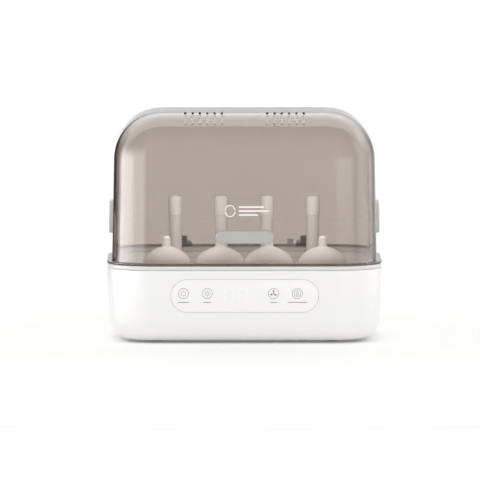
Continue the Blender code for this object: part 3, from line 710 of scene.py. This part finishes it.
def lid():
    corner = CORNER - LID_INSET
    low, high = FLANGE_LOW, FLANGE_HIGH
    fillet = 0.0012
    outer = lid_levels(0.0, high + fillet)
    inner = lid_levels(LID_WALL, low)
    edge = 0.0007
    flange = [(HALF_X - edge, HALF_Y - edge, CORNER - edge, low)]
    for step in range(7):
        angle = math.radians(-90 + 30 * step)
        inset = edge * (1 - math.cos(angle))
        middle = low + edge if angle < 0 else high - edge
        flange.append((HALF_X - inset, HALF_Y - inset, CORNER - inset, middle + edge * math.sin(angle)))
    turn = []
    for step in range(4):
        angle = math.pi / 2 * step / 4
        out = fillet * (1 - math.sin(angle))
        turn.append((LID_X + out, LID_Y + out, corner + out, high + fillet * (1 - math.cos(angle))))
    rings = round_levels(inner[::-1] + flange[1:] + turn + outer)
    across_arc, along_arc = math.sin(VENT_ANGLE), math.cos(VENT_ANGLE)
    place = (0, SHOULDER_Y - SHOULDER_OUT * across_arc, SHOULDER_Z + SHOULDER_UP * along_arc)
    tilt = math.atan2(across_arc / SHOULDER_OUT, along_arc / SHOULDER_UP)
    facing = Matrix.Translation(place) @ Matrix.Rotation(tilt, 4, "X")
    cuts = []
    for side in (-1, 1):
        for i in range(VENTS_IN_GROUP):
            x = side * VENT_GROUP_X + VENT_PITCH * (i - (VENTS_IN_GROUP - 1) / 2)
            half = (VENT_WIDTH / 2, VENT_LENGTH / 2)
            cuts.append(moved(slot_at((x, 0), half, -0.008, 0.005, 6), facing))
    piece_of("lid_cover", skin(rings), LOOKS["smoke_lid"], "lid", ["lid_shell"], cuts)


HANDLE_Z, HANDLE_HALF, HANDLE_REACH = 0.1363, (0.0374, 0.0083), 0.010
GRIP_Z, GRIP_RADIUS, GRIP_PROUD = 0.1546, 0.0213, 0.0055


def lid_fittings():
    wall = lid_wall(LID_Y, HANDLE_Z)
    facing = Matrix.Translation((0, -wall, HANDLE_Z)) @ Matrix.Rotation(math.pi / 2 - LEAN_ANGLE, 4, "X")
    slab = moved(rounded(HANDLE_HALF, HANDLE_HALF[1] - 0.00001, GAP, HANDLE_REACH, 0.0022, 20, 6), facing)
    along = Matrix.Translation((0, -wall - 0.0040, HANDLE_Z - 0.0095)) @ Matrix.Rotation(math.pi / 2, 4, "Y")
    finger = moved(prism(circle(0.005, 32), -0.030, 0.030), along)
    piece_of("pull_bar", slab, LOOKS["grey_plastic"], "lid", ["lid_handle"], [finger])
    for side, name in ((-1, "left"), (1, "right")):
        radius, proud = GRIP_RADIUS, GRIP_PROUD
        profile = [(radius, GAP)] + quarter((radius - 0.0018, proud - 0.0018), 0.0018, 0, 90)
        profile += [(radius - 0.0045, proud), (radius - 0.0065, proud - 0.0006)]
        profile += [(0.0100, proud - 0.0014), (0.0030, proud - 0.0016)]
        place = Matrix.Translation((side * lid_wall(LID_X, GRIP_Z), 0, GRIP_Z))
        facing = place @ Matrix.Rotation(side * (math.pi / 2 - LEAN_ANGLE), 4, "Y")
        disc = moved(turned(profile, 72), facing)
        nodes = [f"side_grip_{name}"]
        piece_of(f"grip_disc_{name}", disc, LOOKS["disc_plastic"], "lid", nodes)


def lid_mark():
    """A plain mark where such a lid is printed: a small bottle beside three bars."""
    z = 0.1691
    place = Matrix.Translation((0.0015, -lid_wall(LID_Y, z) - 0.0001, z))
    facing = place @ Matrix.Rotation(math.pi / 2 - LEAN_ANGLE, 4, "X")
    size = 0.0060
    shapes = [band(size, 0.0007, 180, 360, (-0.0200, -0.0010)), band(size, 0.0007, 0, 180, (-0.0200, 0.0010))]
    for row, length in ((0.0050, 0.0300), (0.0, 0.0360), (-0.0050, 0.0220)):
        shapes.append(bar((-0.0080, row), (-0.0080 + length, row), 0.0011))
    piece_of("lid_mark", moved(joined(shapes), facing), LOOKS["mark"], "lid")


# Back


def hinges():
    for name in ("left", "right"):
        pin = middle_of(f"hinge_pin_{name}")
        hinge(name, middle_of(f"hinge_leaf_{name}").x, (pin.y, pin.z))


KNUCKLE_RADIUS, KNUCKLE_HALF, EAR_OUT, BORE_RADIUS, PIN_RADIUS = 0.005, 0.0067, 0.012, 0.0025, 0.0022


def hinge(name, x, axis):
    wall = HALF_Y + 0.0004
    plate_low, plate_high = axis[1] - 0.029, axis[1] - 0.013
    plate = [(wall, plate_low), (wall + 0.003, plate_low), (wall + 0.003, plate_high)]
    bracket = across(plate + arc(axis, KNUCKLE_RADIUS, -50, 180, 40), x, EAR_OUT)
    low = (x - KNUCKLE_HALF - GAP, HALF_Y - 0.01, axis[1] - 0.0065)
    gap = block(low, (x + KNUCKLE_HALF + GAP, HALF_Y + 0.02, axis[1] + 0.02))
    bore = across(circle(BORE_RADIUS, 40, axis), x, 0.02)
    look, nodes = LOOKS["white_plastic"], [f"hinge_bracket_{name}"]
    piece = piece_of(f"bracket_{name}", bracket, look, "base", nodes, [gap], soften=0.0004)
    tool_of(piece, [moved(bore, Matrix.Translation(MIDDLE))], "DIFFERENCE")
    back, high = LID_Y + GAP, axis[1] + 0.012
    leaf = [(back, FLANGE_HIGH + GAP)] + arc(axis, KNUCKLE_RADIUS, 186, 490, 44)
    leaf += [(back + 0.0025, axis[1] + 0.0038), (back + 0.0025, high), (back, high)]
    bore = across(circle(BORE_RADIUS, 40, axis), x, 0.02)
    knuckle, nodes = across(leaf, x, KNUCKLE_HALF), [f"hinge_leaf_{name}"]
    piece_of(f"leaf_{name}", knuckle, look, "lid", nodes, [bore], soften=0.0004)
    profile = [(PIN_RADIUS - 0.0004, -EAR_OUT - 0.001), (PIN_RADIUS, -EAR_OUT - 0.0006)]
    profile.append((PIN_RADIUS, EAR_OUT + GAP))
    profile += [(0.0036, EAR_OUT + GAP), (0.0036, EAR_OUT + 0.0010), (0.0031, EAR_OUT + 0.0015)]
    facing = Matrix.Translation((x, *axis)) @ Matrix.Rotation(math.pi / 2, 4, "Y")
    rod = moved(turned(profile, 40), facing)
    piece_of(f"pin_{name}", rod, LOOKS["steel"], "base", [f"hinge_pin_{name}"])


def rear_fittings():
    cover = moved(rounded(FILTER_HALF, 0.0037, -0.0024, 0.0, 0.0004, 8), rear_wall(*FILTER_AT))
    cuts = []
    for i in range(5):
        slot = slot_at((0, -0.010 + 0.005 * i), (0.028, 0.001), -0.01, 0.01)
        cuts.append(moved(slot, rear_wall(*FILTER_AT)))
    look = LOOKS["white_plastic"]
    piece_of("filter_grille", cover, look, "filter_drawer", ["filter_cover"], cuts)
    body = moved(rounded(INLET_HALF, 0.0037, -0.016, 0.0008, 0.0005, 8), rear_wall(*INLET_AT))
    socket = moved(prism(outline((0.0085, 0.0046), 0.0045, 16), -0.012, 0.002), rear_wall(*INLET_AT))
    piece_of("inlet_socket", body, LOOKS["black_plastic"], "base", ["power_inlet"], [socket])


def dress_kept_nodes():
    """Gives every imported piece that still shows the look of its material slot."""
    for part in frame["record"]["subparts"]:
        node = frame["nodes"][part["node"]]
        node.data.materials.clear()
        node.data.materials.append(LOOKS[part["material_slot"]])


# Studio

# Each box is azimuth from, to and edge; elevation from, to and edge, in degrees; strength.
# Azimuth 0 is in front of the object, and + is towards +X. A flag takes light away.
LEFT_BOXES = ((-112, -27, 8, -40, 22, 16, 3.2), (-112, -62, 12, -40, 12, 12, 4.2))
RIGHT_BOXES = ((6, 51, 5, -40, 3, 12, 2.0), (70, 132, 10, -40, 40, 16, 1.6))
TOP_BOXES = ((-220, -95, 10, 28, 120, 14, 2.1), (95, 220, 10, 28, 120, 14, 2.1))
SOFTBOXES = LEFT_BOXES + RIGHT_BOXES + TOP_BOXES
FLAGS = ((-172, -124, 5, -60, 14, 9, 0.9), (126, 150, 5, -60, 20, 9, 0.4))
FLAGS += ((-220, -110, 4, 0, 9, 4, 0.2), (110, 220, 4, 0, 9, 4, 0.2))
BOX_GAIN = 1.35  # seen in reflections only, and not through the clear lid
BACKDROP_LEVEL = 1.04
DIFFUSE_LEVEL, DIFFUSE_FROM_LEFT, DIFFUSE_FROM_TOP = 0.97, 0.03, 0.08


def studio_world():
    """White all round for the camera, with softboxes that only reflections show, and dark flags."""
    world = bpy.data.worlds.new("studio")
    world.use_nodes = True
    world.cycles.sampling_method = "NONE"
    bpy.context.scene.world = world
    tree = world.node_tree
    place = tree.nodes.new("ShaderNodeTexCoord")
    parts = tree.nodes.new("ShaderNodeSeparateXYZ")
    link(tree, place.outputs["Generated"], parts.inputs["Vector"])
    x, y, z = (parts.outputs[name] for name in "XYZ")
    azimuth = math_node(tree, "ARCTAN2", x, math_node(tree, "MULTIPLY", y, -1.0))
    elevation = math_node(tree, "ARCSINE", z)
    path = tree.nodes.new("ShaderNodeLightPath")
    mirrored = math_node(tree, "SUBTRACT", 1.0, path.outputs["Is Transmission Ray"])
    boxes = 0.0
    for box in SOFTBOXES:
        shape, strength = patch(tree, azimuth, elevation, box), box[6] * BOX_GAIN
        boxes = math_node(tree, "MULTIPLY_ADD", shape, strength, boxes)
    glossy = math_node(tree, "MULTIPLY_ADD", boxes, mirrored, BACKDROP_LEVEL)
    for flag in FLAGS:
        kept = math_node(tree, "MULTIPLY_ADD", patch(tree, azimuth, elevation, flag), -flag[6], 1.0)
        glossy = math_node(tree, "MULTIPLY", glossy, kept)
    diffuse = math_node(tree, "MULTIPLY_ADD", x, -DIFFUSE_FROM_LEFT, DIFFUSE_LEVEL)
    diffuse = math_node(tree, "MULTIPLY_ADD", z, DIFFUSE_FROM_TOP, diffuse)
    total = choice(tree, path.outputs["Is Diffuse Ray"], diffuse, glossy)
    total = choice(tree, path.outputs["Is Camera Ray"], BACKDROP_LEVEL, total)
    background = tree.nodes["Background"]
    background.inputs["Color"].default_value = (1.0, 0.998, 0.994, 1)
    link(tree, total, background.inputs["Strength"])


def patch(tree, azimuth, elevation, box):
    sides = window(tree, azimuth, *box[:3])
    return math_node(tree, "MULTIPLY", sides, window(tree, elevation, *box[3:6]))


def choice(tree, switch, when_on, when_off):
    mix = tree.nodes.new("ShaderNodeMix")
    link(tree, switch, mix.inputs["Factor"])
    for name, value in (("A", when_off), ("B", when_on)):
        if isinstance(value, float):
            mix.inputs[name].default_value = value
        else:
            link(tree, value, mix.inputs[name])
    return mix.outputs["Result"]


def math_node(tree, operation, *values):
    node = tree.nodes.new("ShaderNodeMath")
    node.operation = operation
    for socket, value in zip(node.inputs, values):
        if isinstance(value, (int, float)):
            socket.default_value = value
        else:
            link(tree, value, socket)
    return node.outputs["Value"]


def window(tree, angle, start, end, edge):
    """1 between two angles in degrees, falling smoothly to 0 outside them."""
    sides = []
    for at, sign in ((start, 1), (end, -1)):
        spread = tree.nodes.new("ShaderNodeMapRange")
        spread.interpolation_type = "SMOOTHSTEP"
        spread.inputs["From Min"].default_value = math.radians(at - sign * edge)
        spread.inputs["From Max"].default_value = math.radians(at + sign * edge)
        link(tree, angle, spread.inputs["Value"])
        sides.append(spread.outputs["Result"])
    return math_node(tree, "MULTIPLY", *sides)


def painted_shadow_near_base(tree, value):
    """The value on the open floor, dimmed smoothly to three quarters of it between 4 mm outside the base's
    edge and 10 mm inside it: painted shadow on the floor at and under the base.
    """
    place = tree.nodes.new("ShaderNodeTexCoord")
    parts = tree.nodes.new("ShaderNodeSeparateXYZ")
    link(tree, place.outputs["Object"], parts.inputs["Vector"])
    legs = []
    x, y = parts.outputs["X"], parts.outputs["Y"]
    for source, middle, half in ((x, MIDDLE.x, HALF_X), (y, MIDDLE.y, HALF_Y)):
        off = math_node(tree, "ABSOLUTE", math_node(tree, "SUBTRACT", source, middle))
        beyond = math_node(tree, "MAXIMUM", math_node(tree, "SUBTRACT", off, half - CORNER), 0.0)
        legs.append(math_node(tree, "POWER", beyond, 2.0))
    distance = math_node(tree, "SQRT", math_node(tree, "ADD", *legs))
    spread = tree.nodes.new("ShaderNodeMapRange")
    spread.interpolation_type = "SMOOTHSTEP"
    spread.inputs["From Min"].default_value = CORNER - 0.010
    spread.inputs["From Max"].default_value = CORNER + 0.004
    spread.inputs["To Min"].default_value = value * 0.75
    spread.inputs["To Max"].default_value = value
    link(tree, distance, spread.inputs["Value"])
    return spread.outputs["Result"]


def floor():
    mesh = turned([(1.15, -0.004), (1.15, 0.0)], 128)
    data = bpy.data.meshes.new("floor")
    mesh.to_mesh(data)
    mesh.free()
    ground = bpy.data.objects.new("floor", data)
    bpy.context.scene.collection.objects.link(ground)
    look = material("floor", (0.93, 0.93, 0.925), 0.9, bump=0.0)
    set_inputs(look, Emission_Color=(1, 1, 1, 1), Specular_IOR_Level=0.0)
    tree = look.node_tree
    glow = BACKDROP_LEVEL - 0.93 * (DIFFUSE_LEVEL + DIFFUSE_FROM_TOP * 2 / 3)
    # The floor's glow is dimmed near and under the base: painted shadow
    link(tree, painted_shadow_near_base(tree, glow), tree.nodes["Principled BSDF"].inputs["Emission Strength"])
    data.materials.append(look)


FILL_POWER, FILL_SIZE = 0.152, (0.12, 0.08)
FILL_AT, FILL_TILT = (0.088, -0.091, 0.206), math.radians(68)


def chamber_fill():
    """Light on the rack through the front of the lid, seen only by dull surfaces."""
    for side, name in ((-1, "left"), (1, "right")):
        data = bpy.data.lights.new(f"chamber_fill_{name}", "AREA")
        data.shape = "RECTANGLE"
        data.size, data.size_y = FILL_SIZE
        data.energy = FILL_POWER
        lamp = bpy.data.objects.new(data.name, data)
        bpy.context.scene.collection.objects.link(lamp)
        lamp.location = MIDDLE + Vector((side * FILL_AT[0], *FILL_AT[1:]))
        lamp.rotation_euler = (FILL_TILT, 0, 0)
        lamp.visible_camera = False
        lamp.visible_glossy = False
        lamp.visible_transmission = False


CAMERA_DISTANCE, FRAME_WIDTH, SENSOR = 10.0, 0.6144, 0.036
AIM = MIDDLE + Vector((-0.0054, 0, 0.1239))
CAMERA_RISE, CAMERA_TURN = math.radians(4.5), math.radians(-0.3)


def camera():
    data = bpy.data.cameras.new("camera")
    data.sensor_width = SENSOR * 1000
    data.lens = data.sensor_width * CAMERA_DISTANCE / FRAME_WIDTH
    made = bpy.data.objects.new("camera", data)
    bpy.context.scene.collection.objects.link(made)
    level_part = math.cos(CAMERA_RISE)
    x, y = math.sin(CAMERA_TURN) * level_part, -math.cos(CAMERA_TURN) * level_part
    away = Vector((x, y, math.sin(CAMERA_RISE)))
    made.location = AIM + away * CAMERA_DISTANCE
    made.rotation_euler = away.to_track_quat("Z", "Y").to_euler()
    bpy.context.scene.camera = made


def write_sizes():
    bpy.context.view_layer.update()


LOOKS = looks()
camera()
studio_world()
chamber_fill()
floor()
dress_kept_nodes()
base_housing()
bottom_plate()
screws_and_feet()
rim_pieces()
front_panel()
chamber()
tray()
rack()
lid()
lid_fittings()
lid_mark()
hinges()
rear_fittings()
scene = bpy.context.scene
scene.view_settings.view_transform = "Standard"
scene.cycles.use_denoising = True
write_sizes()
